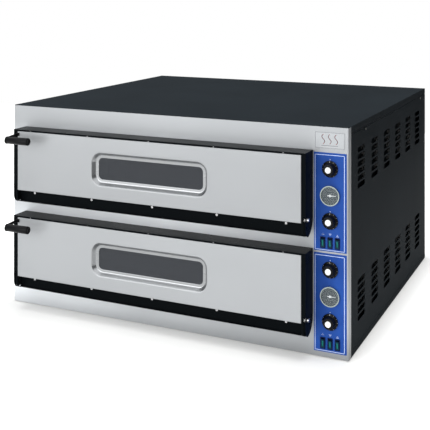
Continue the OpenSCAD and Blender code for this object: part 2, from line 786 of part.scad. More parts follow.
// Six switch housings, each with a rim on the panel and a cavity for its rocker
module switch_housings() color(BLACK) from_front()
    for (panel = [upper_panel, lower_panel], i = [-1, 0, 1])
        translate([panel_x + i * switch_pitch, 0, panel[1] - switch_drop]) difference() {
            union() {
                along_y(-panel_t - 2.5, 2.5) square([housing_w, housing_h], center = true);
                along_y(-panel_t - eps, 24) square(housing_neck, center = true);
            }
            along_y(-panel_t - 3, 16) square([rocker_w + 0.6, 2 * rocker_half + 3.2], center = true);
            bar_x([-7.2, rocker_axis_y, 0], rocker_pin_r + fit, 14.4);
        }

// Rocker with a shallow V face, resting with its upper end proud
module rocker(top, i) color("#12684a") from_front()
    translate([panel_x + i * switch_pitch, rocker_axis_y, top - switch_drop]) rotate([rocker_tilt, 0, 0]) {
        along_x(-rocker_w / 2, rocker_w) polygon([
            [-9.5, rocker_half], [-7.5, 0], [-9.5, -rocker_half], [-1, -rocker_half + 2],
            [5, -4], [5, 4], [-1, rocker_half - 2]
        ]);
        bar_x([-7, 0, 0], rocker_pin_r, 14);
    }

module upper_left_rocker() rocker(upper_panel[1], -1);

module upper_middle_rocker() rocker(upper_panel[1], 0);

module upper_right_rocker() rocker(upper_panel[1], 1);

module lower_left_rocker() rocker(lower_panel[1], -1);

module lower_middle_rocker() rocker(lower_panel[1], 0);

module lower_right_rocker() rocker(lower_panel[1], 1);

front_fascia();
left_side_panel();
right_side_panel();
top_panel();
back_panel();
base_tray();
rubber_feet();
control_bay_wall();
badge_plate();
cabinet_screws();
terminal_block();
insulation_blankets();
upper_chamber();
upper_baking_stones();
upper_heating_elements();
lower_chamber();
lower_baking_stones();
lower_heating_elements();
chamber_lamps();
hinge_arms();
hinge_bolts();
upper_control_panel();
upper_thermometer();
upper_thermometer_lens();
lower_control_panel();
lower_thermometer();
lower_thermometer_lens();
thermostats();
switch_housings();
upper_door_frame();
upper_door_skin();
upper_window_glass();
upper_door_inner_pan();
upper_door_insulation();
upper_door_gasket();
upper_handle_arm();
upper_handle_grip();
upper_door_screws();
lower_door_frame();
lower_door_skin();
lower_window_glass();
lower_door_inner_pan();
lower_door_insulation();
lower_door_gasket();
lower_handle_arm();
lower_handle_grip();
lower_door_screws();
upper_top_heat_knob();
upper_floor_heat_knob();
lower_top_heat_knob();
lower_floor_heat_knob();
upper_left_rocker();
upper_middle_rocker();
upper_right_rocker();
lower_left_rocker();
lower_middle_rocker();
lower_right_rocker();
upper_thermometer_needle();
lower_thermometer_needle();
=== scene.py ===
"""Looks of a twin-deck electric pizza oven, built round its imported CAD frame.

Sheet-metal parts keep their CAD shapes and get rounded edges and a finish. Pressed, turned and
moulded parts are built here: door skins, grips, knobs, dials, rockers, louvre blades and print.
Places in the frame are metres. Sizes of the parts built here are millimetres, scaled by MM.
"""
import json
import math

import bmesh
import bpy
from mathutils import Matrix, Vector


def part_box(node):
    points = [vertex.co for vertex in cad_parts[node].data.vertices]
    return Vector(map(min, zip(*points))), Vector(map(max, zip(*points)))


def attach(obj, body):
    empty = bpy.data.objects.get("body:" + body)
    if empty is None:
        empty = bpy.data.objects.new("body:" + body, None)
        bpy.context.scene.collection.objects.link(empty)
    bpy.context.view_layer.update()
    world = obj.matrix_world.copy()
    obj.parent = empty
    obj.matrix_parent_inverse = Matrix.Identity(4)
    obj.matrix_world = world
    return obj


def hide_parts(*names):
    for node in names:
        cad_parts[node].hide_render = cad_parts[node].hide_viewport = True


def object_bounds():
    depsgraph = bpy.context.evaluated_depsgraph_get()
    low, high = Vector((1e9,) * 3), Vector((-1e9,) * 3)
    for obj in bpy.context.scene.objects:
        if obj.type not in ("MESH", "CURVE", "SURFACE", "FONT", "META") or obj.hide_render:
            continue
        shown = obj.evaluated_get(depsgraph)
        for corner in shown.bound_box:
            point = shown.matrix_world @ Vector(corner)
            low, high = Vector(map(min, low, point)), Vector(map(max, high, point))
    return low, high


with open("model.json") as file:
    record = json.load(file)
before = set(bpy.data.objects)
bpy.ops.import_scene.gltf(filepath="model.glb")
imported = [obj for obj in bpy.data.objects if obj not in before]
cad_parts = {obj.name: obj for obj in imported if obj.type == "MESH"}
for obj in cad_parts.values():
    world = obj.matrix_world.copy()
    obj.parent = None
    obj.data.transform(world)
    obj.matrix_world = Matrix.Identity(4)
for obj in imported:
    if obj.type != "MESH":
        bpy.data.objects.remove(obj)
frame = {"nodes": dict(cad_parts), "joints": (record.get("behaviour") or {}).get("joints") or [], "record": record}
CAD_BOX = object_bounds()
CAD = frame["nodes"]
MM = 0.001
DECKS = ("upper", "lower")
FORWARD = Vector((0, -1, 0))
BACKWARD = Vector((0, 1, 0))
RIGHT = Vector((1, 0, 0))
UP = Vector((0, 0, 1))


# -------------------- materials

SHADER_INPUTS = {
    "color": "Base Color",
    "metal": "Metallic",
    "rough": "Roughness",
    "specular": "Specular IOR Level",
    "coat": "Coat Weight",
    "transmission": "Transmission Weight",
    "sheen": "Sheen Weight",
}


def scaled(tone, factor):
    return [c * factor for c in tone]


class Paint:
    """A material: one Principled shader fed by procedural nodes in object coordinates."""

    def __init__(self, name, **values):
        self.material = bpy.data.materials.new(name)
        self.material.use_nodes = True
        self.nodes = self.material.node_tree.nodes
        self.links = self.material.node_tree.links
        self.shader = self.nodes["Principled BSDF"]
        self.height = None
        for key, value in values.items():
            if key == "color":
                value = (*value, 1)
            self.shader.inputs[SHADER_INPUTS[key]].default_value = value

    def place(self):
        """Position in the object's own coordinates."""
        return self.nodes.new("ShaderNodeTexCoord").outputs["Object"]

    def noise(self, scale, detail=4.0, rough=0.55):
        """Noise whose cells are 1/scale metres along each axis."""
        stretch = self.nodes.new("ShaderNodeMapping")
        stretch.inputs["Scale"].default_value = scale
        noise = self.nodes.new("ShaderNodeTexNoise")
        noise.inputs["Scale"].default_value = 1.0
        noise.inputs["Detail"].default_value = detail
        noise.inputs["Roughness"].default_value = rough
        self.links.new(self.place(), stretch.inputs["Vector"])
        self.links.new(stretch.outputs["Vector"], noise.inputs["Vector"])
        return noise.outputs[0]

    def speckle(self, scale):
        """Distance to the nearest of scattered points, for pores and grains."""
        cells = self.nodes.new("ShaderNodeTexVoronoi")
        cells.inputs["Scale"].default_value = scale
        self.links.new(self.place(), cells.inputs["Vector"])
        return cells.outputs["Distance"]

    def remap(self, source, low, high, start=0.3, stop=0.7):
        """Takes start..stop to low..high, and stays within them."""
        node = self.nodes.new("ShaderNodeMapRange")
        node.inputs["From Min"].default_value = start
        node.inputs["From Max"].default_value = stop
        node.inputs["To Min"].default_value = low
        node.inputs["To Max"].default_value = high
        self.links.new(source, node.inputs["Value"])
        return node.outputs["Result"]

    def mixed(self, share):
        """A mix of two colours, as (first input, second input, result)."""
        mix = self.nodes.new("ShaderNodeMix")
        mix.data_type = "RGBA"
        self.links.new(share, mix.inputs["Factor"])
        first, second = [socket for socket in mix.inputs if socket.type == "RGBA"]
        result = [socket for socket in mix.outputs if socket.type == "RGBA"][0]
        return first, second, result

    def tint(self, source, low, high, start=0.3, stop=0.7):
        """Feeds the base colour with a mix of two colours, driven by source."""
        first, second, result = self.mixed(self.remap(source, 0, 1, start, stop))
        first.default_value = (*low, 1)
        second.default_value = (*high, 1)
        self.links.new(result, self.shader.inputs["Base Color"])

    def blend(self, share, low, high):
        """Mix of two sockets."""
        first, second, result = self.mixed(share)
        self.links.new(low, first)
        self.links.new(high, second)
        return result

    def along(self, axis, points):
        """Value that runs through the given (metres, value) points along X, Y or Z."""
        parts = self.nodes.new("ShaderNodeSeparateXYZ")
        curve = self.nodes.new("ShaderNodeValToRGB")
        start, stop = points[0][0], points[-1][0]
        stops = curve.color_ramp.elements
        while len(stops) < len(points):
            stops.new(0.5)
        for element, (place, value) in zip(stops, points):
            element.position = (place - start) / (stop - start)
            element.color = (value, value, value, 1)
        self.links.new(self.place(), parts.inputs["Vector"])
        self.links.new(self.remap(parts.outputs[axis], 0, 1, start, stop), curve.inputs["Fac"])
        return curve.outputs["Color"]

    def scale_tone(self, factor):
        """Multiplies the base colour, which tint has fed, by a factor."""
        product = self.nodes.new("ShaderNodeVectorMath")
        product.operation = "MULTIPLY"
        colour = self.shader.inputs["Base Color"]
        self.links.new(colour.links[0].from_socket, product.inputs[0])
        self.links.new(factor, product.inputs[1])
        self.links.new(product.outputs["Vector"], colour)

    def vary(self, key, source, low, high):
        self.links.new(self.remap(source, low, high), self.shader.inputs[SHADER_INPUTS[key]])

    def relief(self, source, strength, distance):
        """Adds one layer of bump under any layers added later."""
        bump = self.nodes.new("ShaderNodeBump")
        bump.inputs["Strength"].default_value = strength
        bump.inputs["Distance"].default_value = distance
        self.links.new(source, bump.inputs["Height"])
        if self.height is not None:
            self.links.new(self.height, bump.inputs["Normal"])
        self.height = bump.outputs["Normal"]
        self.links.new(self.height, self.shader.inputs["Normal"])

    def overlay(self, other):
        """Mixes another shader into the material, and returns the mix's share input."""
        mix = self.nodes.new("ShaderNodeMixShader")
        self.links.new(self.shader.outputs["BSDF"], mix.inputs[1])
        self.links.new(other.outputs["BSDF"], mix.inputs[2])
        self.links.new(mix.outputs["Shader"], self.nodes["Material Output"].inputs["Surface"])
        return mix.inputs["Fac"]

    def see_through(self, share, tone):
        """Lets part of the light straight through, as thin glass does."""
        clear = self.nodes.new("ShaderNodeBsdfTransparent")
        clear.inputs["Color"].default_value = (*tone, 1)
        self.overlay(clear).default_value = share


def brushed(name, tone, rough, metal=0.40, grain=(4, 600, 900)):
    """Brushed steel: grain drawn out along X, faint cloudy staining and fine scratches."""
    paint = Paint(name, metal=metal, rough=rough)
    lines = paint.noise(grain, detail=5)
    clouds = paint.noise((1.6, 1.6, 2.4), detail=2)
    paint.tint(clouds, scaled(tone, 0.96), scaled(tone, 1.03))
    paint.vary("rough", lines, rough - 0.05, rough + 0.07)
    paint.relief(lines, strength=0.05, distance=0.00006)
    paint.relief(clouds, strength=0.08, distance=0.0006)
    return paint


# Painted light and shade on the fascia, as shares of its tone in three bands of its height: lighter below and
# between the doors, which shade it, and mostly darker towards the right. As (metres along X, share)
FASCIA_LEFT, FASCIA_RIGHT, FASCIA_TOP = -0.67, 0.67, 0.762
PAINTED_LIGHT_BELOW_DOORS = [(FASCIA_LEFT, 1.18), (-0.35, 0.98), (-0.1, 0.76), (0.4, 0.60), (FASCIA_RIGHT, 0.52)]
PAINTED_LIGHT_BETWEEN_DOORS = [
    (FASCIA_LEFT, 0.60), (-0.45, 0.78), (0.0, 0.94), (0.35, 0.72), (FASCIA_RIGHT, 0.36)
]
PAINTED_LIGHT_ABOVE_DOORS = [(FASCIA_LEFT, 0.41), (0.0, 0.48), (FASCIA_RIGHT, 0.43)]
# How the bands give way to each other, and painted shade and light that change with height, as (metres up, share)
LEAVES_LOW_BAND = [(0.0, 0.0), (0.12, 0.0), (0.40, 1.0), (FASCIA_TOP, 1.0)]
ENTERS_HIGH_BAND = [(0.0, 0.0), (0.60, 0.0), (0.70, 1.0), (FASCIA_TOP, 1.0)]
# Painted shade at the fascia's foot
PAINTED_SHADE_AT_FOOT = [(0.0, 0.66), (0.10, 1.0), (FASCIA_TOP, 1.0)]
# Painted light that makes the lower door's steel paler
PAINTED_LIGHT_ON_LOWER_DOOR = [(0.0, 1.12), (0.38, 1.09), (0.46, 1.0), (FASCIA_TOP, 1.0)]


def fascia_steel(tone, rough):
    """Brushed steel with painted light and shade over the fascia: lighter below and between the doors, which shade
    it, and darker at its foot and mostly towards the right.
    """
    paint = brushed("fascia_steel", tone, rough)
    lower = paint.blend(paint.along("Z", LEAVES_LOW_BAND), paint.along("X", PAINTED_LIGHT_BELOW_DOORS),
                        paint.along("X", PAINTED_LIGHT_BETWEEN_DOORS))
    share = paint.along("Z", ENTERS_HIGH_BAND)
    paint.scale_tone(paint.blend(share, lower, paint.along("X", PAINTED_LIGHT_ABOVE_DOORS)))
    paint.scale_tone(paint.along("Z", PAINTED_SHADE_AT_FOOT))
    return paint.material


def door_steel(tone, rough):
    """Brushed steel, darker than the other stainless as painted shade, and a little paler on the lower door as
    painted light.
    """
    paint = brushed("door_steel", tone, rough)
    # Painted light: paler on the lower door
    paint.scale_tone(paint.along("Z", PAINTED_LIGHT_ON_LOWER_DOOR))
    return paint.material


def powder_coat(name, tone, rough, specular):
    """Fine-textured coat with a slight orange peel."""
    paint = Paint(name, rough=rough, specular=specular)
    grit = paint.noise((1400, 1400, 1400), detail=3)
    clouds = paint.noise((3, 3, 3), detail=3)
    paint.tint(clouds, scaled(tone, 0.88), scaled(tone, 1.12))
    paint.vary("rough", grit, rough - 0.06, rough + 0.08)
    paint.relief(grit, strength=0.25, distance=0.00015)
    return paint.material


def enamel(name, tone, rough, specular=0.3):
    """Smooth baked enamel with a long, low orange peel."""
    paint = Paint(name, color=tone, rough=rough, specular=specular)
    peel = paint.noise((160, 160, 160), detail=1)
    smears = paint.noise((5, 5, 9), detail=2)
    paint.vary("rough", smears, rough - 0.03, rough + 0.05)
    paint.relief(peel, strength=0.05, distance=0.0001)
    return paint.material


def moulded(name, tone, rough, texture=900, **values):
    """Moulded plastic or rubber with a spark-eroded texture; also printed ink."""
    paint = Paint(name, rough=rough, **values)
    grit = paint.noise((texture, texture, texture), detail=2)
    clouds = paint.noise((40, 40, 40), detail=2)
    paint.tint(clouds, scaled(tone, 0.9), scaled(tone, 1.1))
    paint.vary("rough", grit, rough - 0.05, rough + 0.07)
    paint.relief(grit, strength=0.10, distance=0.0001)
    return paint.material


def window_glass():
    paint = Paint("tinted_glass", color=(0.040, 0.045, 0.054), rough=0.06, specular=0.5)
    smears = paint.noise((14, 14, 30), detail=3)
    paint.vary("rough", smears, 0.04, 0.12)
    paint.see_through(0.35, (0.45, 0.46, 0.48))
    return paint.material


def lens_glass():
    paint = Paint("dial_glass", color=(0.5, 0.52, 0.54), rough=0.05, specular=0.25)
    dust = paint.noise((300, 300, 300), detail=2)
    paint.vary("rough", dust, 0.02, 0.06)
    paint.see_through(0.95, (0.97, 0.98, 0.98))
    return paint.material


def green_lens():
    """Green rocker lens, ribbed across, with uneven depth of colour."""
    paint = Paint("rocker_lens", rough=0.24, specular=0.14, coat=0.04)
    depth = paint.noise((120, 120, 60), detail=2)
    paint.tint(depth, (0.003, 0.105, 0.088), (0.008, 0.19, 0.16))
    ribs = paint.noise((20, 20, 1200), detail=1)
    paint.relief(ribs, strength=0.3, distance=0.0003)
    return paint.material


def mineral_wool():
    paint = Paint("wool", rough=0.95, sheen=0.3)
    fibres = paint.noise((90, 500, 300), detail=6)
    paint.tint(fibres, (0.20, 0.17, 0.09), (0.42, 0.37, 0.22))
    paint.relief(fibres, strength=0.8, distance=0.004)
    return paint.material


def refractory_stone():
    paint = Paint("refractory", rough=0.92, specular=0.2)
    grains = paint.speckle(260)
    clouds = paint.noise((7, 7, 7), detail=5)
    paint.tint(clouds, (0.40, 0.33, 0.24), (0.58, 0.50, 0.38))
    paint.relief(grains, strength=0.5, distance=0.0012)
    paint.relief(clouds, strength=0.2, distance=0.002)
    return paint.material


def braided_rope():
    paint = Paint("rope", rough=0.9, sheen=0.4)
    braid = paint.speckle(330)
    paint.tint(braid, (0.10, 0.09, 0.08), (0.34, 0.32, 0.28), start=0.1, stop=0.6)
    paint.relief(braid, strength=0.9, distance=0.0015)
    return paint.material


def heated_steel(name, tone):
    """Chamber sheet, tinted straw and brown by heat."""
    paint = Paint(name, metal=0.9, rough=0.42)
    clouds = paint.noise((5, 5, 8), detail=5)
    lines = paint.noise((6, 300, 300), detail=3)
    paint.tint(clouds, scaled(tone, 0.7), tone)
    paint.vary("rough", lines, 0.34, 0.52)
    paint.relief(lines, strength=0.15, distance=0.0001)
    return paint.material


def polished(name, tone, rough):
    paint = Paint(name, metal=1.0, rough=rough)
    clouds = paint.noise((60, 60, 60), detail=3)
    paint.tint(clouds, scaled(tone, 0.93), tone)
    paint.vary("rough", clouds, rough, rough + 0.08)
    return paint.material


def printed_panel():
    """Blue printed overlay with a fine screen texture."""
    paint = Paint("panel_ink", rough=0.38, specular=0.12)
    clouds = paint.noise((14, 14, 9), detail=3)
    grit = paint.noise((1100, 1100, 1100), detail=2)
    paint.tint(clouds, (0.009, 0.052, 0.27), (0.014, 0.070, 0.33))
    paint.relief(grit, strength=0.2, distance=0.0001)
    return paint.material


# One finish for each material slot of the record
MATERIALS = {
    "brushed_stainless": brushed("brushed_stainless", (0.41, 0.425, 0.44), rough=0.36).material,
    "charcoal_powder_coat": powder_coat(
        "charcoal_powder_coat", (0.0110, 0.0148, 0.0182), rough=0.62, specular=0.03
    ),
    "black_rubber": moulded("black_rubber", (0.02, 0.02, 0.02), rough=0.7, texture=400),
    "badge_metal": brushed("badge_metal", (0.385, 0.40, 0.415), rough=0.34).material,
    "bright_fixings": polished("bright_fixings", (0.66, 0.66, 0.67), rough=0.22),
    "switch_black": moulded("switch_black", (0.003, 0.008, 0.045), rough=0.36, specular=0.08),
    "mineral_wool": mineral_wool(),
    "chamber_steel": heated_steel("chamber_steel", (0.52, 0.50, 0.47)),
    "baking_stone": refractory_stone(),
    "element_sheath": heated_steel("element_sheath", (0.13, 0.12, 0.11)),
    "lamp_glass": moulded(
        "lamp_glass", (0.82, 0.78, 0.66), rough=0.2, texture=500, transmission=0.4
    ),
    "panel_blue": printed_panel(),
    "dial_chrome": polished("dial_chrome", (0.38, 0.44, 0.43), rough=0.2),
    "dial_glass": lens_glass(),
    "needle_white": moulded("needle_white", (0.86, 0.87, 0.88), rough=0.4),
    "door_black": enamel("door_black", (0.0028, 0.0038, 0.0046), rough=0.28, specular=0.015),
    "dull_zinc": polished("dull_zinc", (0.30, 0.30, 0.28), rough=0.35),
    "window_glass": window_glass(),
    "rope_seal": braided_rope(),
    "handle_black": moulded(
        "handle_black", (0.004, 0.0042, 0.005), rough=0.30, texture=700, specular=0.09
    ),
    "knob_black": moulded("knob_black", (0.0035, 0.0037, 0.0045), rough=0.26, specular=0.14),
    "rocker_green": green_lens(),
}

# Finishes that only some of a slot's pieces wear
DIAL_FACE = moulded("dial_face", (0.080, 0.096, 0.105), rough=0.6, texture=1200, specular=0.1)
DIAL_INK = moulded("dial_ink", (0.13, 0.148, 0.153), rough=0.6, texture=1200, specular=0.1)
WHITE_PLASTIC = moulded("white_plastic", (0.80, 0.81, 0.82), rough=0.3)
ROCKER_DARK = moulded("rocker_dark", (0.003, 0.030, 0.055), rough=0.3, specular=0.1)
PALE_INK = moulded("pale_ink", (0.50, 0.60, 0.86), rough=0.45, texture=1200)
TICK_INK = moulded("tick_ink", (0.42, 0.43, 0.45), rough=0.5, texture=1200)
GREY_INK = moulded("grey_ink", (0.12, 0.12, 0.13), rough=0.45, texture=1200)
RED_INK = moulded("red_ink", (0.30, 0.06, 0.06), rough=0.45, texture=1200)
# Painted shade for the cross recesses in screw heads
PAINTED_RECESS_SHADE = moulded("painted_recess_shade", (0.01, 0.01, 0.01), rough=0.6)
# Black for the window sleeves, and painted shade for the sheets behind the louvres
BLACK_FOR_SLEEVE_AND_SHADE = enamel("black_for_sleeve_and_shade", (0.012, 0.012, 0.013), rough=0.5)
# Stainless darkened as painted shade for the door skins, and paler on the lower door as painted light
DOOR_STEEL_PAINTED_LIGHTING = door_steel((0.33, 0.341, 0.353), rough=0.36)
PRESSED_STEEL = brushed("pressed_steel", (0.38, 0.39, 0.40), rough=0.26, metal=1.0).material
# Steel with painted light and shade over the fascia
FASCIA_STEEL_PAINTED_LIGHTING = fascia_steel((0.82, 0.85, 0.88), rough=0.36)


# -------------------- mesh helpers

WELD_REACH = 0.01
SHARP_ANGLE = 35            # degrees between faces, above which an edge is rounded
PRINT_THICKNESS = 0.15


def piece(name, shape, material, body, smooth=True):
    """Makes a mesh piece from (vertices, faces), which rides on a body."""
    verts, faces = shape
    mesh = bpy.data.meshes.new(name)
    mesh.from_pydata([tuple(v) for v in verts], [], faces)
    work = bmesh.new()
    work.from_mesh(mesh)
    bmesh.ops.recalc_face_normals(work, faces=work.faces)
    work.to_mesh(mesh)
    work.free()
    mesh.materials.append(material)
    for polygon in mesh.polygons:
        polygon.use_smooth = smooth
    obj = bpy.data.objects.new(name, mesh)
    bpy.context.scene.collection.objects.link(obj)
    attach(obj, body)
    return obj


def lofted(rings, cap_first=True, cap_last=True):
    """Vertices and faces of a skin over equal-sized closed rings."""
    count = len(rings[0])
    verts = [p for ring in rings for p in ring]
    faces = []
    for r in range(len(rings) - 1):
        for i in range(count):
            j = (i + 1) % count
            faces.append((r * count + i, r * count + j, (r + 1) * count + j, (r + 1) * count + i))
    if cap_first:
        faces.append(tuple(range(count)))
    if cap_last:
        last = (len(rings) - 1) * count
        faces.append(tuple(last + i for i in reversed(range(count))))
    return verts, faces


def merge(parts):
    """Joins several (vertices, faces) pairs into one."""
    verts, faces = [], []
    for part_verts, part_faces in parts:
        shift = len(verts)
        verts += list(part_verts)
        faces += [tuple(i + shift for i in face) for face in part_faces]
    return verts, faces


def turned(profile, origin, along, steps=48, flutes=0, flute_depth=0.0, fluted=()):
    """A turned shape from (radius, distance along the axis) points.

    The profile points listed in fluted carry narrow grooves, flute_depth deep.
    """
    side = RIGHT if abs(along.x) < 0.5 else UP
    other = along.cross(side)
    rings = []
    for index, (radius, distance) in enumerate(profile):
        ring = []
        for i in range(steps):
            angle = 2 * math.pi * i / steps
            r = radius
            if index in fluted:
                r -= flute_depth * (0.5 + 0.5 * math.cos(flutes * angle)) ** 3
            across = side * math.cos(angle) + other * math.sin(angle)
            ring.append(origin + (along * distance + across * r) * MM)
        rings.append(ring)
    return lofted(rings)


def box_part(low, high):
    """A plain block as (vertices, faces), for merging into a larger piece."""
    xs, ys, zs = zip(low, high)
    verts = [Vector((x, y, z)) for x in xs for y in ys for z in zs]
    faces = [(0, 1, 3, 2), (4, 6, 7, 5), (0, 4, 5, 1), (2, 3, 7, 6), (0, 2, 6, 4), (1, 5, 7, 3)]
    return verts, faces


def stroke(points, width, front):
    """A flat line of small bars through (x, z) points in millimetres, lying at y = front."""
    parts = []
    for (x0, z0), (x1, z1) in zip(points, points[1:]):
        along = Vector((x1 - x0, 0, z1 - z0))
        length = along.length
        if length == 0:
            continue
        along /= length
        across = Vector((-along.z, 0, along.x)) * width / 2
        start = Vector((x0, 0, z0)) - along * width / 2
        stop = Vector((x1, 0, z1)) + along * width / 2
        corners = [start + across, start - across, stop - across, stop + across]
        back = [c * MM + Vector((0, front, 0)) for c in corners]
        face = [c + FORWARD * PRINT_THICKNESS * MM for c in back]
        parts.append(lofted([back, face]))
    return merge(parts)


def outline(x0, x1, z0, z1, width, front):
    """A rectangle of strokes."""
    return stroke([(x0, z0), (x1, z0), (x1, z1), (x0, z1), (x0, z0)], width, front)


def centre_of(node):
    low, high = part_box(node)
    return (low + high) / 2


def on_circle(degrees):
    """Direction in the plane of the doors, anticlockwise from the right."""
    angle = math.radians(degrees)
    return Vector((math.cos(angle), 0, math.sin(angle)))


def add_solid(obj, thickness, offset=-1.0):
    modifier = obj.modifiers.new("thickness", "SOLIDIFY")
    modifier.thickness = thickness * MM
    modifier.offset = offset


def even_normals(obj):
    """Keeps large flat faces flat beside the small ones along their edges."""
    obj.modifiers.new("normals", "WEIGHTED_NORMAL").keep_sharp = True


def soften(obj, width, weld=False):
    """Rounds the sharp edges, which catch light on every real part."""
    if weld:
        obj.modifiers.new("weld", "WELD").merge_threshold = WELD_REACH * MM
    bevel = obj.modifiers.new("edges", "BEVEL")
    bevel.width = width * MM
    bevel.segments = 2
    bevel.limit_method = "ANGLE"
    bevel.angle_limit = math.radians(SHARP_ANGLE)
    bevel.use_clamp_overlap = True
    even_normals(obj)


# -------------------- CAD nodes

EDGE_WIDTHS = {
    "front_fascia": 0.5,
    "top_panel": 0.6,
    "left_side_panel": 0.4,
    "right_side_panel": 0.4,
    "back_panel": 0.4,
    "base_tray": 0.5,
    "control_bay_wall": 0.4,
    "badge_plate": 0.25,
    "rubber_feet": 1.0,
    "cabinet_screws": 0.8,
    "hinge_arms": 0.8,
    "hinge_bolts": 1.2,
    "door_frame": 0.45,
    "door_inner_pan": 0.4,
    "handle_arm": 1.0,
    "door_screws": 1.0,
    "control_panel": 0.25,
    "thermometer": 1.6,
    "switch_housings": 0.7,
    "thermostats": 1.0,
    "chamber": 0.4,
    "baking_stones": 1.2,
    "terminal_block": 0.8,
    "window_glass": 0.6,
    "door_gasket": 2.0,
    "door_insulation": 2.0,
    "chamber_lamps": 2.0,
    "insulation_blankets": 3.0,
}


def finish_cad_nodes():
    """Gives every CAD node its finish, and rounds its edges."""
    slots = {part["node"]: part["material_slot"] for part in frame["record"]["subparts"]}
    for node, obj in CAD.items():
        obj.data.materials.clear()
        obj.data.materials.append(MATERIALS[slots[node]])
        family = node.removeprefix("upper_").removeprefix("lower_")
        if family in EDGE_WIDTHS:
            soften(obj, EDGE_WIDTHS[family], weld=True)
    # The fascia wears steel with painted light and shade
    CAD["front_fascia"].data.materials[0] = FASCIA_STEEL_PAINTED_LIGHTING


# -------------------- doors

RECESS_RADIUS = 38.0
RECESS_MARGIN_X = 13.0      # the recess outline stands this far outside the glass
RECESS_MARGIN_Z = 11.0
RING_SQUEEZE = 0.84         # the flat ring is narrower above and below the glass
CORNER_STEPS = 10
SKIN_THICKNESS = 1.2
HEM_CLEARANCE = 0.2         # from the skin's bottom edge, folded back, to the back of its box
CORNER_SPREAD = 60.0        # how far along the skin's edges each corner's points are spread

# Section through the pressing, as (inset from the recess outline, depth)
PRESSING = [
    (-4.5, 0.0),
    (-2.2, 0.12),
    (-0.4, 0.7),
    (1.0, 2.0),
    (2.0, 3.6),
    (8.2, 12.2),
    (9.2, 13.6),
    (10.6, 14.6),
    (12.6, 15.0),
    (20.6, 15.0),
    (21.6, 15.25),
    (22.0, 16.2),
]
PRESSING_LIP = 2            # points of the pressing that keep the finish of the flat sheet
RING_START = 12.6           # inset at which the pressing turns into its flat ring
# The sheet's outer edge, as (inset from the edge, depth)
FOLD = [(0.0, 9.0), (0.0, 1.6), (0.45, 0.45), (1.6, 0.0)]

PANE = 4.6                  # from the glass's outer face to where the sleeve starts
SLEEVE_STEP = 20.0          # from either outer face to the sleeve's inner ring of points
SLEEVE_CLEARANCE = 0.5
SLEEVE_RADIUS = 16
SLEEVE_THICKNESS = 0.8

SCREW_PITCH = 252.0
STRIP_DEPTH = 29.0          # from the door's front to the strip under the skin
HEAD_HEIGHT = 2.5
HEAD_RADIUS = 4.0
CROSS_REACH = 1.8
CROSS_HALF_WIDTH = 0.35
CROSS_HALF_DEPTH = 0.3

# Profile of the grip as (radius, distance), from the arm and then back from the free end
GRIP_PROFILE = [(0.0, 0.0), (10.6, 0.0), (12.6, 0.8), (13.2, 2.4), (13.2, 5.0), (12.8, 5.8),
                (12.8, 7.0), (13.3, 7.8)]
GRIP_END = [(14.0, 4.0), (13.7, 1.8), (12.7, 0.6), (11.2, 0.0), (10.2, 0.5), (0.0, 0.7)]


def rounded_ring(centre, half_w, half_h, radius, y):
    """Points round a rectangle with rounded corners in the plane of a door."""
    ring = []
    for quadrant in range(4):
        sign_x = 1 if quadrant in (0, 3) else -1
        sign_z = 1 if quadrant in (0, 1) else -1
        for i in range(CORNER_STEPS + 1):
            angle = math.pi / 2 * (quadrant + i / CORNER_STEPS)
            x = sign_x * (half_w - radius) + radius * math.cos(angle)
            z = sign_z * (half_h - radius) + radius * math.sin(angle)
            ring.append(Vector((centre.x + x * MM, y, centre.z + z * MM)))
    return ring


def square_ring(low, high, inset, y):
    """The same number of points round a plain rectangle, with one on each corner."""
    half = CORNER_STEPS // 2
    corners = [
        (high.x - inset, high.z - inset),
        (low.x + inset, high.z - inset),
        (low.x + inset, low.z + inset),
        (high.x - inset, low.z + inset),
    ]
    before = [(0, -1), (1, 0), (0, 1), (-1, 0)]
    after = [(-1, 0), (0, -1), (1, 0), (0, 1)]
    ring = []
    for (x, z), (bx, bz), (ax, az) in zip(corners, before, after):
        for i in range(CORNER_STEPS + 1):
            reach = CORNER_SPREAD * MM * abs(i - half) / half
            dx, dz = (bx, bz) if i < half else (ax, az)
            ring.append(Vector((x + dx * reach, y, z + dz * reach)))
    return ring


def half_size(node):
    """Half of a node's width and height, in millimetres."""
    low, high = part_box(node)
    return (high.x - low.x) / 2 / MM, (high.z - low.z) / 2 / MM


def door_skin(deck):
    """Steel skin with folded edges and the pressed, round-cornered window recess."""
    node, glass = f"{deck}_door_skin", f"{deck}_window_glass"
    low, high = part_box(node)
    half_w, half_h = half_size(glass)
    half_w += RECESS_MARGIN_X
    half_h += RECESS_MARGIN_Z
    rings = [square_ring(low, high, inset * MM, low.y + depth * MM) for inset, depth in FOLD]
    for point in rings[0]:
        if point.z < low.z + MM:
            point.y = high.y - HEM_CLEARANCE * MM
    for inset, depth in PRESSING:
        inset_z = min(inset, RING_START) + max(0, inset - RING_START) * RING_SQUEEZE
        rings.append(rounded_ring(centre_of(glass), half_w - inset, half_h - inset_z,
                                  RECESS_RADIUS - inset, low.y + depth * MM))
    skin = piece(f"{deck}_skin", lofted(rings, cap_first=False, cap_last=False), DOOR_STEEL_PAINTED_LIGHTING,
                 f"{deck}_door")
    skin.data.materials.append(PRESSED_STEEL)
    first_pressed = (len(FOLD) + PRESSING_LIP) * len(rings[0])
    for polygon in skin.data.polygons:
        polygon.material_index = int(min(polygon.vertices) >= first_pressed)
    add_solid(skin, SKIN_THICKNESS)
    even_normals(skin)
    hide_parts(node)


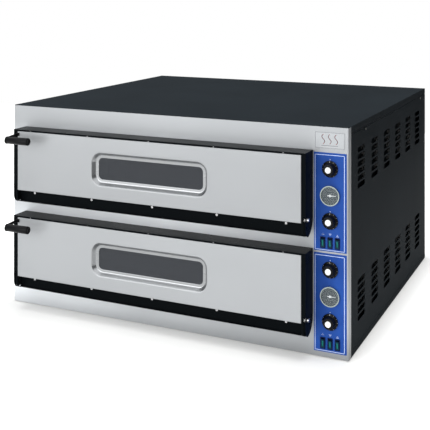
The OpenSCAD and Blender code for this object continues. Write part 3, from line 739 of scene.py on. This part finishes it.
def window_tunnel(deck):
    """Black sleeve through the door's insulation, from one pane to the other."""
    node = f"{deck}_window_glass"
    low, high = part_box(node)
    half_w, half_h = half_size(node)
    depths = (low.y + PANE * MM, low.y + SLEEVE_STEP * MM,
              high.y - SLEEVE_STEP * MM, high.y - PANE * MM)
    rings = [rounded_ring(centre_of(node), half_w + SLEEVE_CLEARANCE, half_h + SLEEVE_CLEARANCE,
                          SLEEVE_RADIUS, y) for y in depths]
    sleeve = piece(f"{deck}_window_tunnel", lofted(rings, cap_first=False, cap_last=False),
                   BLACK_FOR_SLEEVE_AND_SHADE, f"{deck}_door")
    add_solid(sleeve, SLEEVE_THICKNESS, offset=1.0)


def handle_grip(deck):
    """Slightly flared grip with a collar at the arm and a rounded, dished free end."""
    node = f"{deck}_handle_grip"
    low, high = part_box(node)
    length = (high.x - low.x) / MM
    start = Vector((low.x, (low.y + high.y) / 2, (low.z + high.z) / 2))
    profile = GRIP_PROFILE + [(radius, length - back) for radius, back in GRIP_END]
    grip = piece(f"{deck}_grip", turned(profile, start, RIGHT, steps=40),
                 MATERIALS["handle_black"], f"{deck}_door")
    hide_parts(node)


def door_screw_crosses(deck):
    """Painted shade for the cross recesses of the five screws of the strip under the skin, as thin dark crosses on
    their heads.
    """
    screws_low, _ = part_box(f"{deck}_door_screws")
    frame_low, frame_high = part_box(f"{deck}_door_frame")
    middle = (frame_low.x + frame_high.x) / 2
    y = frame_low.y + (STRIP_DEPTH - HEAD_HEIGHT) * MM
    z = screws_low.z + HEAD_RADIUS * MM
    parts = []
    for i in range(-2, 3):
        head = Vector((middle + i * SCREW_PITCH * MM, y, z))
        for half in (Vector((CROSS_REACH, CROSS_HALF_DEPTH, CROSS_HALF_WIDTH)),
                     Vector((CROSS_HALF_WIDTH, CROSS_HALF_DEPTH, CROSS_REACH))):
            parts.append(box_part(head - half * MM, head + half * MM))
    piece(f"{deck}_screw_recess_shade", merge(parts), PAINTED_RECESS_SHADE, f"{deck}_door",
          smooth=False)


# -------------------- knobs

KNOB_PROFILE = [
    (4.0, 0.0),
    (26.9, 0.0),
    (27.5, 0.5),
    (27.5, 1.9),
    (26.7, 2.6),
    (22.5, 4.6),
    (21.6, 5.2),
    (20.6, 6.2),
    (18.4, 20.6),
    (17.8, 21.8),
    (16.2, 22.4),
    (10.8, 22.5),
]
SKIRT = (4, 5)              # the profile points between which the skirt slopes
KNOB_BARREL = (7, 8, 9)     # the profile points that carry the flutes
CAP_PROFILE = [(10.0, 21.8), (10.0, 24.4), (9.4, 25.4), (7.8, 25.9), (4.0, 26.0), (0.0, 26.0)]
KNOB_FLUTES = 18
FLUTE_DEPTH = 1.3
SWEEP = 300                 # degrees from the first tick to the last
TICKS = 11
TICK_INNER, TICK_OUTER, TICK_HALF_WIDTH = 24.2, 26.3, 0.3
POINTER_INNER, POINTER_HALF_WIDTH = 21.6, 0.55
TICK_SUNK, TICK_PROUD = 0.3, 0.12


def skirt_ticks(centre):
    """White ticks on the knob's sloping skirt, the first of them a longer pointer at the top."""
    (outer_radius, outer_depth), (inner_radius, inner_depth) = [KNOB_PROFILE[i] for i in SKIRT]
    rise = (inner_depth - outer_depth) / (outer_radius - inner_radius)
    parts = []
    for k in range(TICKS):
        out = on_circle(90 - k * SWEEP / (TICKS - 1))
        across = Vector((-out.z, 0, out.x)) * (TICK_HALF_WIDTH if k else POINTER_HALF_WIDTH)
        back, front = [], []
        for radius, sides in ((TICK_INNER if k else POINTER_INNER, (1, -1)), (TICK_OUTER, (-1, 1))):
            depth = outer_depth + (outer_radius - radius) * rise
            for side in sides:
                at = out * radius + across * side
                back.append(centre + (at + FORWARD * (depth - TICK_SUNK)) * MM)
                front.append(centre + (at + FORWARD * (depth + TICK_PROUD)) * MM)
        parts.append(lofted([back, front]))
    return merge(parts)


def knob(node):
    """Fluted knob with a ticked skirt and a white cap."""
    low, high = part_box(node)
    centre = Vector(((low.x + high.x) / 2, high.y, (low.z + high.z) / 2))
    moulding = turned(KNOB_PROFILE, centre, FORWARD, steps=108, flutes=KNOB_FLUTES,
                      flute_depth=FLUTE_DEPTH, fluted=KNOB_BARREL)
    body = piece(f"{node}_moulding", moulding, MATERIALS["knob_black"], node)
    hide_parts(node)
    even_normals(body)
    piece(f"{node}_cap", turned(CAP_PROFILE, centre, FORWARD), WHITE_PLASTIC, node)
    piece(f"{node}_ticks", skirt_ticks(centre), TICK_INK, node, smooth=False)


# -------------------- thermometers

DIAL_START = 225            # degrees anticlockwise from three o'clock, where zero stands
DIAL_SWEEP = 270
DIAL_TOP = 500
DIAL_STEP = 10              # from one mark to the next
RIM_WIDTH = 3.7             # from the case's outside to the face
FACE_DEPTH = 6.0            # from the case's front to the back of the face
FACE_THICKNESS = 0.3
FACE_HOLE = 1.3
MARK_INSET = 1.2
MARK_SETBACK = 0.25         # from the back of the face to the back of its marks
# Marks as (every so many degrees of heat, length, width), the first that fits
MARKS = [(100, 4.2, 0.7), (50, 3.0, 0.35), (DIAL_STEP, 1.7, 0.35)]
TEXT_SETBACK = 0.35
TEXT_THICKNESS = 0.08
NUMBER_SIZE = 4.4
NUMBER_INSET = 10.0
UNIT_SIZE = 5.5
UNIT_DROP = 10.5
HUB_PROFILE = [(3.6, 0.0), (3.6, 0.5), (3.0, 1.0), (0.0, 1.2)]


def lettering(text, size, at):
    """Text as flat-faced (vertices, faces) centred on a point."""
    curve = bpy.data.curves.new("lettering", "FONT")
    curve.body = text
    curve.size = size * MM
    curve.extrude = TEXT_THICKNESS * MM
    curve.align_x = "CENTER"
    curve.align_y = "CENTER"
    curve.resolution_u = 3
    holder = bpy.data.objects.new("lettering", curve)
    mesh = bpy.data.meshes.new_from_object(holder)
    stand = Matrix.Translation(at) @ Matrix.Rotation(math.radians(90), 4, "X")
    verts = [stand @ v.co for v in mesh.vertices]
    faces = [tuple(p.vertices) for p in mesh.polygons]
    bpy.data.meshes.remove(mesh)
    bpy.data.objects.remove(holder)
    bpy.data.curves.remove(curve)
    return verts, faces


def on_dial(heat):
    """Direction from the dial's centre to a temperature."""
    return on_circle(DIAL_START - heat / DIAL_TOP * DIAL_SWEEP)


def dial_marks(centre, radius):
    """Marks, numbers and the unit, printed on the face."""
    parts = []
    for heat in range(0, DIAL_TOP + 1, DIAL_STEP):
        length, width = [mark[1:] for mark in MARKS if heat % mark[0] == 0][0]
        ends = [on_dial(heat) * (radius - MARK_INSET - back) for back in (0, length)]
        points = [(centre.x / MM + p.x, centre.z / MM + p.z) for p in ends]
        parts.append(stroke(points, width, centre.y - MARK_SETBACK * MM))
    for heat in range(0, DIAL_TOP + 1, 100):
        at = centre + (on_dial(heat) * (radius - NUMBER_INSET) + FORWARD * TEXT_SETBACK) * MM
        parts.append(lettering(str(heat), NUMBER_SIZE, at))
    unit = centre + (FORWARD * TEXT_SETBACK - UP * UNIT_DROP) * MM
    parts.append(lettering("°C", UNIT_SIZE, unit))
    return merge(parts)


def dial_face(deck):
    """Grey face with ticks and numbers from 0 to 500, lying on the CAD dial plate."""
    low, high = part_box(f"{deck}_thermometer")
    needle = f"{deck}_thermometer_needle"
    needle_low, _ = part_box(needle)
    radius = (high.x - low.x) / 2 / MM - RIM_WIDTH
    centre = Vector(((low.x + high.x) / 2, low.y + FACE_DEPTH * MM, (low.z + high.z) / 2))
    face = [(FACE_HOLE, 0.0), (radius, 0.0), (radius, FACE_THICKNESS), (FACE_HOLE, FACE_THICKNESS)]
    piece(f"{deck}_dial_face", turned(face, centre, FORWARD, steps=64), DIAL_FACE, "cabinet",
          smooth=False)
    piece(f"{deck}_dial_marks", dial_marks(centre, radius), DIAL_INK, "cabinet",
          smooth=False)
    hub = Vector((centre.x, needle_low.y, centre.z))
    piece(f"{deck}_needle_hub", turned(HUB_PROFILE, hub, FORWARD, steps=24), WHITE_PLASTIC, needle)


# -------------------- switches and panel print

ROCKER_TILT = 7             # degrees
ROCKER_HALF = 14.0
ROCKER_HALF_WIDTH = 5.7
ROCKER_FRONT = 7.6          # from the pivot to the middle of the dished face
ROCKER_DISH = 1.9
ROCKER_STEPS = 12
ROCKER_BACK = [(-1.0, -12.0), (5.0, -4.0), (5.0, 4.0), (-1.0, 12.0)]
LENS_HALF_WIDTH = 2.2
LENS_PROUD = 0.25
LENS_SUNK = 0.8

BORDER_NEAR = 4.4           # the pale line's distance inside the panel's left and bottom edges
BORDER_FAR = 7.6            # and inside its right and top edges
BORDER_WIDTH = 1.9
KNOB_MARK = [(-1.6, 0), (1.6, 0), (0, -3), (-1.6, 0)]
KNOB_MARK_RISE = 32.0
KNOB_MARK_LINE = 1.0
ICON_RISE = 27.5
ICON_LINE = 0.8
LAMP_RADIUS = 2.2
LAMP_ICON = [
    [(LAMP_RADIUS * math.cos(a * math.pi / 6), LAMP_RADIUS * math.sin(a * math.pi / 6))
     for a in range(13)],
    [(-4.6, 0), (-3.2, 0)],
    [(3.2, 0), (4.6, 0)],
    [(0, 3.2), (0, 4.6)],
]
TOP_HEAT_ICON = [[(-4.5, 4), (4.5, 4)], [(-3, 2), (0, -2.5), (3, 2), (-3, 2)]]
FLOOR_HEAT_ICON = [[(-4.5, -4), (4.5, -4)], [(-3, -2), (0, 2.5), (3, -2), (-3, -2)]]
SWITCH_ICONS = {"left": LAMP_ICON, "middle": TOP_HEAT_ICON, "right": FLOOR_HEAT_ICON}

FIXING_INSET = 1.6
FIXING_PROFILE = [(1.5, 0.0), (1.5, 0.5), (1.0, 0.9), (0.0, 1.0)]

BADGE_MARGIN = 2
BADGE_LINE = 0.9
BADGE_BAR = (22, 8, 1.4)    # the bar's inset from each side, its rise and its width
WAVES = (-22, 0, 22)        # from the badge's middle
WAVE_REACH = 5.0
WAVE_FOOT = 14
WAVE_HEIGHT = 31
WAVE_WIDTH = 1.9
WAVE_STEPS = 16


def rocker(node):
    """Rocker with a shallow dished face, and a lens strip let into it."""
    joint = [j for j in frame["joints"] if j["child"] == node][0]
    tilt = Matrix.Rotation(math.radians(ROCKER_TILT), 4, "X")
    turn = Matrix.Translation(Vector(joint["pos_m"])) @ tilt

    def bar(outline, half_width):
        """The (y, z) outline drawn out across the rocker."""
        return lofted([[turn @ (Vector((x, y, z)) * MM) for y, z in outline]
                       for x in (-half_width, half_width)])

    face = []
    for i in range(ROCKER_STEPS + 1):
        z = ROCKER_HALF * (1 - 2 * i / ROCKER_STEPS)
        face.append((-ROCKER_FRONT - ROCKER_DISH * (z / ROCKER_HALF) ** 2, z))
    body = piece(f"{node}_moulding", bar(face + ROCKER_BACK, ROCKER_HALF_WIDTH), ROCKER_DARK,
                 node)
    soften(body, 0.5)
    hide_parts(node)
    strip = face[2:-2]
    front = [(y - LENS_PROUD, z) for y, z in strip]
    back = [(y + LENS_SUNK, z) for y, z in reversed(strip)]
    lens = piece(f"{node}_lens", bar(front + back, LENS_HALF_WIDTH), MATERIALS["rocker_green"],
                 node)
    soften(lens, 0.2)


def printed(node, line, rise, width, front):
    """A line of print above a control, its points taken from the control's middle."""
    at = centre_of(node) / MM
    return stroke([(at.x + x, at.z + rise + z) for x, z in line], width, front)


def panel_print(deck):
    """Pale border line, index marks over the knobs and plain icons over the switches."""
    low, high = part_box(f"{deck}_control_panel")
    front = low.y
    marks = [outline(low.x / MM + BORDER_NEAR, high.x / MM - BORDER_FAR,
                     low.z / MM + BORDER_NEAR, high.z / MM - BORDER_FAR, BORDER_WIDTH, front)]
    for place in ("top", "floor"):
        marks.append(printed(f"{deck}_{place}_heat_knob", KNOB_MARK, KNOB_MARK_RISE,
                             KNOB_MARK_LINE, front))
    for place, icon in SWITCH_ICONS.items():
        for line in icon:
            marks.append(printed(f"{deck}_{place}_rocker", line, ICON_RISE, ICON_LINE, front))
    piece(f"{deck}_panel_print", merge(marks), PALE_INK, "cabinet", smooth=False)


def panel_fixings(deck):
    """One small dark fixing at each side of a control panel, at mid height."""
    low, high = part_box(f"{deck}_control_panel")
    z = (low.z + high.z) / 2
    parts = [turned(FIXING_PROFILE, Vector((x, low.y, z)), FORWARD, steps=16)
             for x in (low.x + FIXING_INSET * MM, high.x - FIXING_INSET * MM)]
    piece(f"{deck}_panel_fixings", merge(parts), GREY_INK, "cabinet")


def badge_print():
    """Plain outline and bar, and three rising heat waves, on the badge plate."""
    low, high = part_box("badge_plate")
    front = low.y
    x0, x1 = low.x / MM + BADGE_MARGIN, high.x / MM - BADGE_MARGIN
    z0, z1 = low.z / MM + BADGE_MARGIN, high.z / MM - BADGE_MARGIN
    inset, rise, width = BADGE_BAR
    bar = stroke([(x0 + inset, z0 + rise), (x1 - inset, z0 + rise)], width, front)
    grey = merge([outline(x0, x1, z0, z1, BADGE_LINE, front), bar])
    piece("badge_outline", grey, GREY_INK, "cabinet", smooth=False)
    waves = []
    for shift in WAVES:
        points = []
        for i in range(WAVE_STEPS + 1):
            t = i / WAVE_STEPS
            x = (x0 + x1) / 2 + shift + WAVE_REACH * math.sin(t * 2 * math.pi)
            points.append((x, z0 + WAVE_FOOT + WAVE_HEIGHT * t))
        waves.append(stroke(points, WAVE_WIDTH, front))
    piece("badge_waves", merge(waves), RED_INK, "cabinet", smooth=False)


# -------------------- louvres

LOUVRE_COLUMNS = 6
LOUVRE_ROWS = 6
LOUVRE_PITCH_Y = 177.0
LOUVRE_PITCH_Z = 24.3
BACK_LOUVRE_PITCH = 200.0
FIRST_LOUVRE = 120.0        # behind the side panel's front edge
TOP_ROWS = (671.0, 225.0)   # height of the first row in each group
BLADE_HALF = 46.0
BLADE_THICKNESS = 0.9
# Section of a pressed hood, as (distance inwards, height over the slot's middle)
BLADE = [(0.3, 9.6), (5.0, 9.3), (8.6, 7.6), (10.6, 4.0), (11.6, -1.0), (12.6, -13.9)]
SHADE_SHEET_DEPTH = 15.0         # black sheet behind the side louvres: painted shade that keeps their slots dark
SHADE_SHEET_HALF = 0.4
SHADE_SHEET_MARGIN = 10.0
SHADE_SHEET_RISE = 20.0


def blade(middle, along, inward):
    """One curved louvre hood behind its slot, as (vertices, faces)."""
    rings = []
    for side in (-1, 1):
        front = [middle + (along * side * BLADE_HALF + inward * d + UP * z) * MM for d, z in BLADE]
        back = [p + (inward * BLADE_THICKNESS) * MM for p in reversed(front)]
        rings.append(front + back)
    return lofted(rings)


def louvre_screen(x, panel_front, top):
    """Thin upright sheet of painted shade behind one group of louvres, as (vertices, faces)."""
    y0 = panel_front + (FIRST_LOUVRE - BLADE_HALF - SHADE_SHEET_MARGIN) * MM
    columns = (LOUVRE_COLUMNS - 1) * LOUVRE_PITCH_Y
    y1 = y0 + (columns + 2 * BLADE_HALF + 2 * SHADE_SHEET_MARGIN) * MM
    z0 = (top - LOUVRE_ROWS * LOUVRE_PITCH_Z) * MM
    z1 = (top + SHADE_SHEET_RISE) * MM
    return box_part((x - SHADE_SHEET_HALF * MM, y0, z0), (x + SHADE_SHEET_HALF * MM, y1, z1))


def louvre_piece(name, blades):
    piece(f"{name}_louvre_blades", merge(blades), MATERIALS["charcoal_powder_coat"], "cabinet",
          smooth=False)


def louvres():
    """Blades behind the slots of the side and back panels, and black sheets of painted shade behind the side ones.
    """
    for side, name in ((-1, "left"), (1, "right")):
        low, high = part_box(f"{name}_side_panel")
        x = low.x if side > 0 else high.x
        blades, shade_sheets = [], []
        for top in TOP_ROWS:
            for column in range(LOUVRE_COLUMNS):
                for row in range(LOUVRE_ROWS):
                    y = low.y + (FIRST_LOUVRE + column * LOUVRE_PITCH_Y) * MM
                    z = (top - row * LOUVRE_PITCH_Z) * MM
                    blades.append(blade(Vector((x, y, z)), BACKWARD, RIGHT * -side))
            shade_sheets.append(louvre_screen(x - side * SHADE_SHEET_DEPTH * MM, low.y, top))
        # Black sheets as painted shade behind the side louvres
        piece(f"{name}_louvre_shade_sheets", merge(shade_sheets), BLACK_FOR_SLEEVE_AND_SHADE, "cabinet",
              smooth=False)
        louvre_piece(name, blades)
    low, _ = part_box("back_panel")
    blades = []
    for column in range(-2, 3):
        for row in range(LOUVRE_ROWS):
            x, z = column * BACK_LOUVRE_PITCH * MM, (TOP_ROWS[0] - row * LOUVRE_PITCH_Z) * MM
            blades.append(blade(Vector((x, low.y, z)), RIGHT, FORWARD))
    louvre_piece("back", blades)


# -------------------- stage, light and camera

CAMERA_X = 1.4877
CAMERA_Y = -3.3125
CAMERA_Z = 1.2302
CAMERA_TURN = 24.56         # degrees to the right of straight on
SENSOR = 36.0
LENS = 73.93
SHIFT_X = -0.0154
SHIFT_Y = -0.537
SKY_BRIGHT_SIDE = (-0.62, -0.52, 0.58)
SKY_FACING = (-0.45, 0.65)  # from the darkest sky to the brightest, as shares of facing that side
SKY_DARK = 0.13
SKY_BRIGHT = 0.50
SUN_FROM = (0.05, -0.10, 1.0)
SUN_SPREAD = 36.0
GLOW_SPREAD = 120.0
SUN_POWER = 2.5
FRONT_FROM = (-0.35, -1.0, 0.13)
FRONT_SPREAD = 55.0
FRONT_POWER = 2.3
FLOOR_LEFT, FLOOR_RIGHT = -8, 1.6
FLOOR_FRONT, FLOOR_BACK = -8, 4
FLOOR_TONE = (0.93, 0.93, 0.92)
FLOOR_GLOW = 0.50
CONTACT_SHADE = 0.66        # tone of the painted shadow on the floor at the foot of the oven, as a share of the floor's own
# How far the painted shadow reaches from the oven's footprint, in metres
CONTACT_REACH = 0.11
MIRRORED_DIMMING = 0.35


def distance_from_foot(paint):
    """Distance from the oven's footprint, for points on the floor."""
    where = paint.place()
    foot = CAD_BOX[1]
    for operation, operand in (("ABSOLUTE", None), ("SUBTRACT", (foot[0], foot[1], 0)),
                               ("MAXIMUM", (0, 0, 0)), ("LENGTH", None)):
        step = paint.nodes.new("ShaderNodeVectorMath")
        step.operation = operation
        paint.links.new(where, step.inputs[0])
        if operand is not None:
            step.inputs[1].default_value = operand
        where = step.outputs["Value" if operation == "LENGTH" else "Vector"]
    return where


def floor_paint(rough):
    """Glowing white with a painted shadow towards the foot of the oven; it looks dimmer in metal."""
    paint = Paint("floor_white", rough=rough, specular=0.1)
    paint.tint(distance_from_foot(paint), scaled(FLOOR_TONE, CONTACT_SHADE), FLOOR_TONE,
               start=0.0, stop=CONTACT_REACH)
    colour = paint.shader.inputs["Base Color"].links[0].from_socket
    paint.links.new(colour, paint.shader.inputs["Emission Color"])
    paint.shader.inputs["Emission Strength"].default_value = FLOOR_GLOW
    clouds = paint.noise((0.8, 0.8, 0.8), detail=1)
    paint.vary("rough", clouds, rough - 0.05, rough + 0.05)
    dark = paint.nodes.new("ShaderNodeBsdfDiffuse")
    dark.inputs["Color"].default_value = (0, 0, 0, 1)
    rays = paint.nodes.new("ShaderNodeLightPath")
    mirrored = paint.nodes.new("ShaderNodeMath")
    mirrored.operation = "MULTIPLY"
    mirrored.inputs[1].default_value = MIRRORED_DIMMING
    paint.links.new(rays.outputs["Is Glossy Ray"], mirrored.inputs[0])
    paint.links.new(mirrored.outputs["Value"], paint.overlay(dark))
    return paint.material


def floor():
    """White sheet that ends to the right of the oven, so right-facing metal mirrors the dark."""
    mesh = bpy.data.meshes.new("floor")
    corners = [(FLOOR_LEFT, FLOOR_FRONT, 0), (FLOOR_RIGHT, FLOOR_FRONT, 0),
               (FLOOR_RIGHT, FLOOR_BACK, 0), (FLOOR_LEFT, FLOOR_BACK, 0)]
    mesh.from_pydata(corners, [], [(0, 1, 2, 3)])
    mesh.materials.append(floor_paint(rough=0.8))
    obj = bpy.data.objects.new("floor", mesh)
    bpy.context.scene.collection.objects.link(obj)


def sky():
    """White to the camera. As a light it is bright above, left and in front, and dark opposite."""
    world = bpy.data.worlds.new("studio")
    world.use_nodes = True
    nodes, links = world.node_tree.nodes, world.node_tree.links
    lit = nodes["Background"]
    where = nodes.new("ShaderNodeTexCoord")
    facing = nodes.new("ShaderNodeVectorMath")
    facing.operation = "DOT_PRODUCT"
    facing.inputs[1].default_value = SKY_BRIGHT_SIDE
    level = nodes.new("ShaderNodeMapRange")
    level.interpolation_type = "SMOOTHSTEP"
    level.inputs["From Min"].default_value, level.inputs["From Max"].default_value = SKY_FACING
    level.inputs["To Min"].default_value = SKY_DARK
    level.inputs["To Max"].default_value = SKY_BRIGHT
    plain = nodes.new("ShaderNodeBackground")
    rays = nodes.new("ShaderNodeLightPath")
    mix = nodes.new("ShaderNodeMixShader")
    links.new(where.outputs["Generated"], facing.inputs[0])
    links.new(facing.outputs["Value"], level.inputs["Value"])
    links.new(level.outputs["Result"], lit.inputs["Strength"])
    lit.inputs["Color"].default_value = (0.97, 0.985, 1.0, 1)
    plain.inputs["Color"].default_value = (1, 1, 1, 1)
    links.new(rays.outputs["Is Camera Ray"], mix.inputs["Fac"])
    links.new(lit.outputs["Background"], mix.inputs[1])
    links.new(plain.outputs["Background"], mix.inputs[2])
    links.new(mix.outputs["Shader"], nodes["World Output"].inputs["Surface"])
    bpy.context.scene.world = world


def lights():
    """A light from above and a low one that reaches under the doors.

    Metal mirrors the light from above as a broad glow, not as a disc.
    """
    suns = [
        ("top", SUN_FROM, SUN_SPREAD, SUN_POWER),
        ("glow", SUN_FROM, GLOW_SPREAD, SUN_POWER),
        ("front", FRONT_FROM, FRONT_SPREAD, FRONT_POWER),
    ]
    for name, source, spread, power in suns:
        data = bpy.data.lights.new(name, "SUN")
        data.angle = math.radians(spread)
        data.energy = power
        obj = bpy.data.objects.new(name, data)
        obj.rotation_euler = Vector(source).to_track_quat("Z", "Y").to_euler()
        obj.visible_glossy = name != "top"
        obj.visible_diffuse = name != "glow"
        bpy.context.scene.collection.objects.link(obj)


def camera():
    """Camera of the main view. Its lens shift applies only while it stands at that height."""
    data = bpy.data.cameras.new("camera")
    data.sensor_width = SENSOR
    data.lens = LENS
    obj = bpy.data.objects.new("camera", data)
    obj.location = (CAMERA_X, CAMERA_Y, CAMERA_Z)
    obj.rotation_euler = (math.radians(90), 0, math.radians(CAMERA_TURN))
    bpy.context.scene.collection.objects.link(obj)
    bpy.context.scene.camera = obj
    for channel, value in (("shift_x", SHIFT_X), ("shift_y", SHIFT_Y)):
        driver = data.driver_add(channel).driver
        place = driver.variables.new()
        place.name = "height"
        place.type = "TRANSFORMS"
        place.targets[0].id = obj
        place.targets[0].transform_type = "LOC_Z"
        place.targets[0].transform_space = "WORLD_SPACE"
        driver.expression = f"{value} if abs(height - {CAMERA_Z}) < 0.001 else 0.0"


# -------------------- build

finish_cad_nodes()
for deck in DECKS:
    door_skin(deck)
    window_tunnel(deck)
    handle_grip(deck)
    door_screw_crosses(deck)
    dial_face(deck)
    panel_print(deck)
    panel_fixings(deck)
    for place in ("top", "floor"):
        knob(f"{deck}_{place}_heat_knob")
    for place in ("left", "middle", "right"):
        rocker(f"{deck}_{place}_rocker")
badge_print()
louvres()
floor()
sky()
lights()
camera()
bpy.context.scene.view_settings.view_transform = "Standard"
